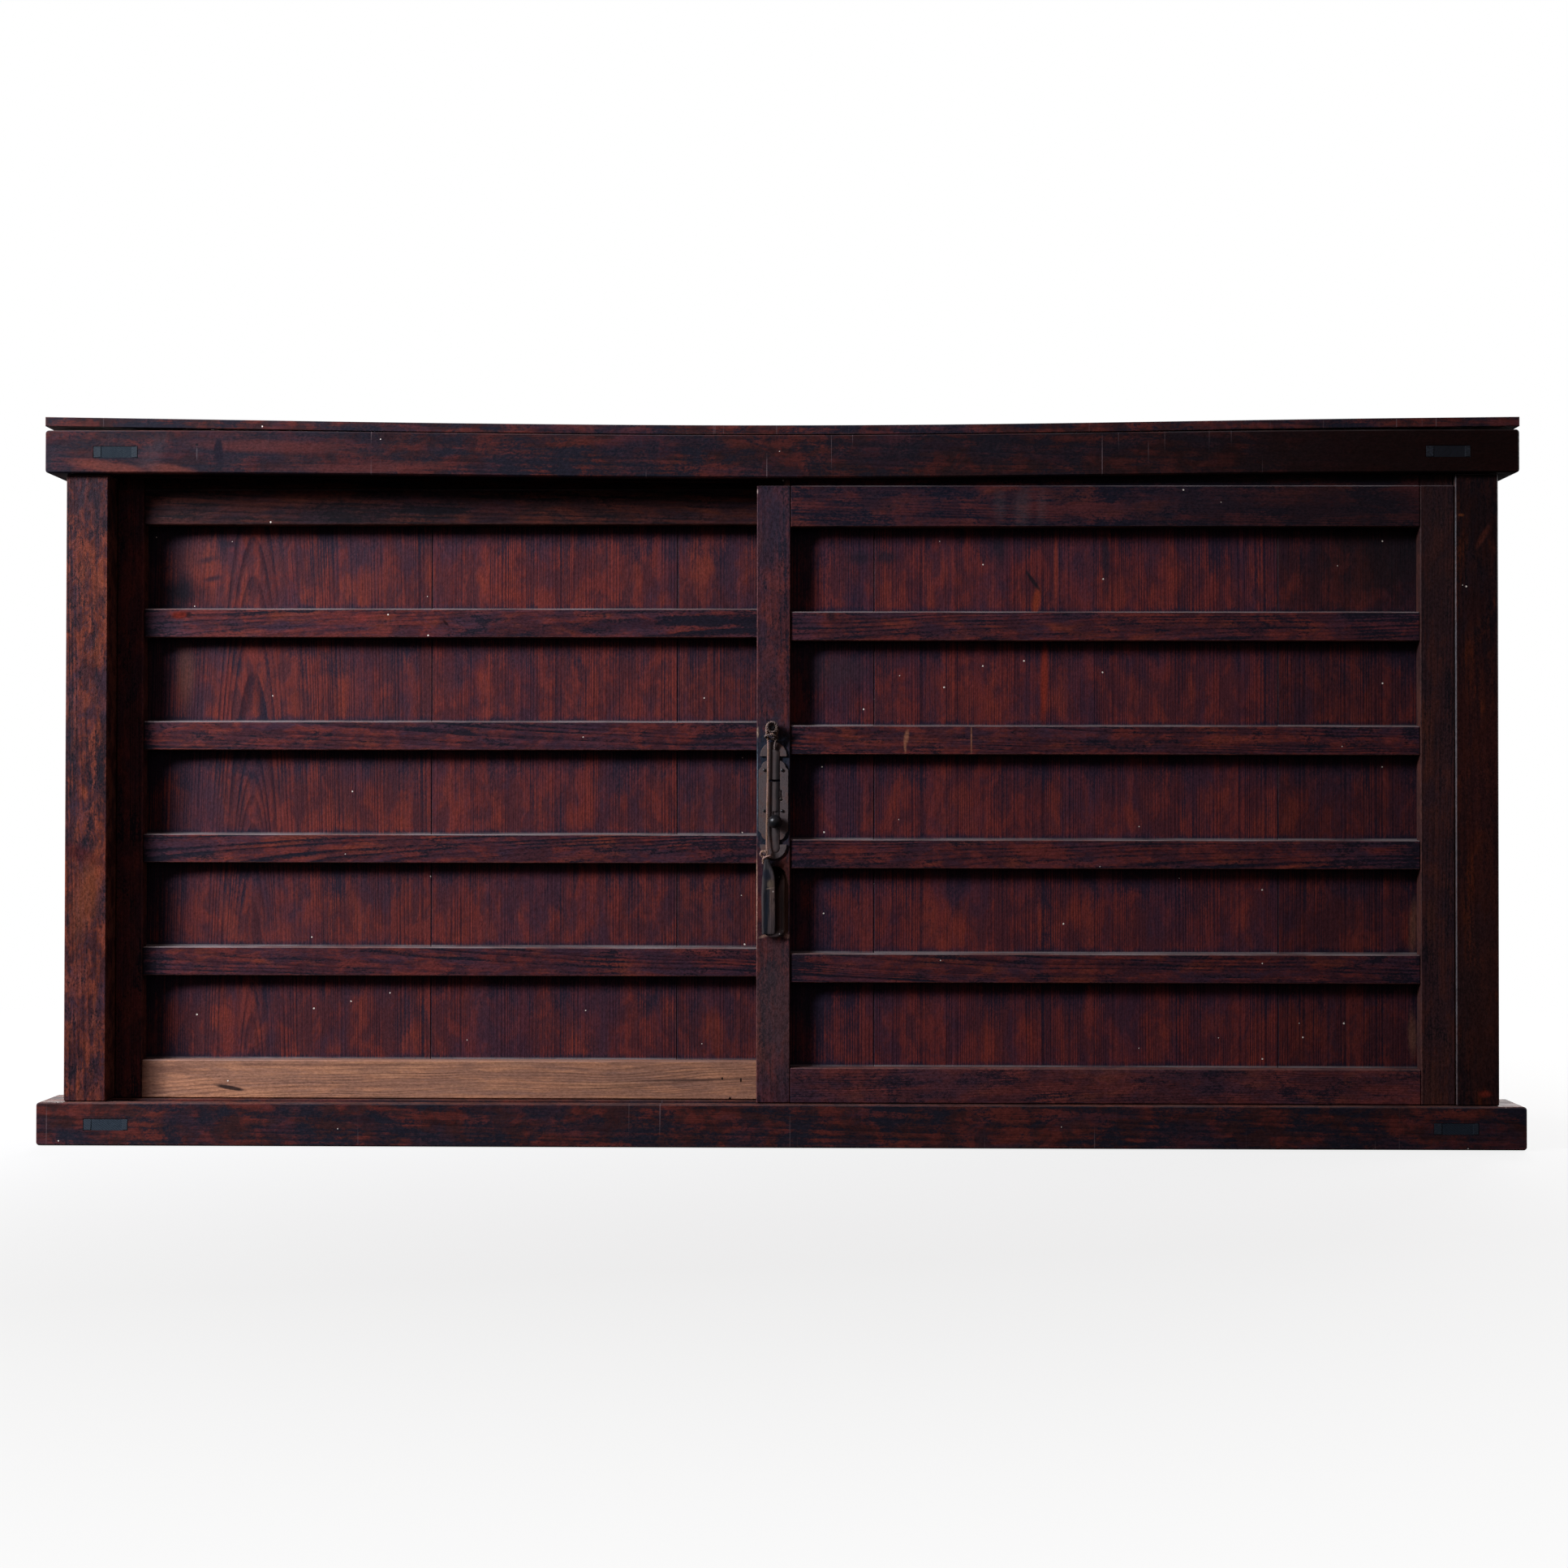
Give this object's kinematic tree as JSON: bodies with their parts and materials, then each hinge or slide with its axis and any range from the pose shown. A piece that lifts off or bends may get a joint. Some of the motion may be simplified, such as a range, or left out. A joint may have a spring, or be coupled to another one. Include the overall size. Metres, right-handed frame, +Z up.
{
  "type": "mizuya tansu",
  "caption": "Low, wide wooden kitchen chest with panelled sliding doors, an iron lock plate with a ball knob, and a wooden peg hung on a cord.",
  "frame": {"origin": "on the ground under the middle of the outer box", "axes": "+X along the front to the viewer's right, +Y from the doors to the back, +Z up"},
  "size_m": [1.764, 0.4624, 0.8669],
  "materials": {
    "frame_wood": "dark red-brown stain, satin, worn and grimy",
    "door_wood": "dark red-brown stain, satin",
    "panel_wood": "red-brown stain over straight grain, satin",
    "raw_wood": "bare, matt",
    "inner_wood": "bare, aged, matt",
    "plate_iron": "dark, dusty, matt",
    "knob_iron": "dark, polished by hand",
    "cord_fibre": "twisted twine, matt",
    "peg_wood": "weathered, matt"
  },
  "bodies": {
    "case": {"front_top_rail": "frame_wood", "front_bottom_rail": "frame_wood", "rear_top_rail": "frame_wood", "rear_bottom_rail": "frame_wood", "floor_bearer": "inner_wood", "top_bearer": "inner_wood", "front_left_post": "frame_wood", "rear_left_post": "frame_wood", "left_top_side_rail": "frame_wood", "left_bottom_side_rail": "frame_wood", "left_side_board_front": "panel_wood", "left_side_board_rear": "panel_wood", "front_right_post": "frame_wood", "rear_right_post": "frame_wood", "right_top_side_rail": "frame_wood", "right_bottom_side_rail": "frame_wood", "right_side_board_front": "panel_wood", "right_side_board_rear": "panel_wood", "back_board_bottom": "inner_wood", "back_board_middle": "inner_wood", "back_board_top": "inner_wood", "floor_board_front": "inner_wood", "floor_board_rear": "inner_wood", "top_board_front": "frame_wood", "top_board_rear": "frame_wood", "shelf_board": "inner_wood", "left_shelf_cleat": "inner_wood", "right_shelf_cleat": "inner_wood"},
    "front_door": {"front_door_left_stile": "door_wood", "front_door_right_stile": "door_wood", "front_door_top_rail": "door_wood", "front_door_bottom_rail": "door_wood", "front_door_batten_1": "door_wood", "front_door_batten_2": "door_wood", "front_door_batten_3": "door_wood", "front_door_batten_4": "door_wood", "front_door_panel_board_1": "panel_wood", "front_door_panel_board_2": "panel_wood", "front_door_panel_board_3": "panel_wood", "lock_plate": "plate_iron", "upper_left_plate_nail": "knob_iron", "upper_right_plate_nail": "knob_iron", "lower_left_plate_nail": "knob_iron", "lower_right_plate_nail": "knob_iron", "cord_pin": "knob_iron", "hanging_cord": "cord_fibre", "cord_peg": "peg_wood"},
    "rear_door": {"rear_door_left_stile": "door_wood", "rear_door_right_stile": "door_wood", "rear_door_top_rail": "door_wood", "rear_door_bottom_rail": "raw_wood", "rear_door_batten_1": "door_wood", "rear_door_batten_2": "door_wood", "rear_door_batten_3": "door_wood", "rear_door_batten_4": "door_wood", "rear_door_panel_board_1": "panel_wood", "rear_door_panel_board_2": "panel_wood", "rear_door_panel_board_3": "panel_wood"},
    "lock_bolt": {"lock_bar": "plate_iron", "lock_knob": "knob_iron"}
  },
  "joints": [
    {"name": "front_door_slide", "type": "slide", "parent": "case", "child": "front_door", "axis": [1, 0, 0], "range_m": [-0.774, 0]},
    {"name": "rear_door_slide", "type": "slide", "parent": "case", "child": "rear_door", "axis": [1, 0, 0], "range_m": [0, 0.774]},
    {"name": "lock_bolt_slide", "type": "slide", "parent": "front_door", "child": "lock_bolt", "axis": [0, 0, 1], "range_m": [0, 0.009]}
  ]
}
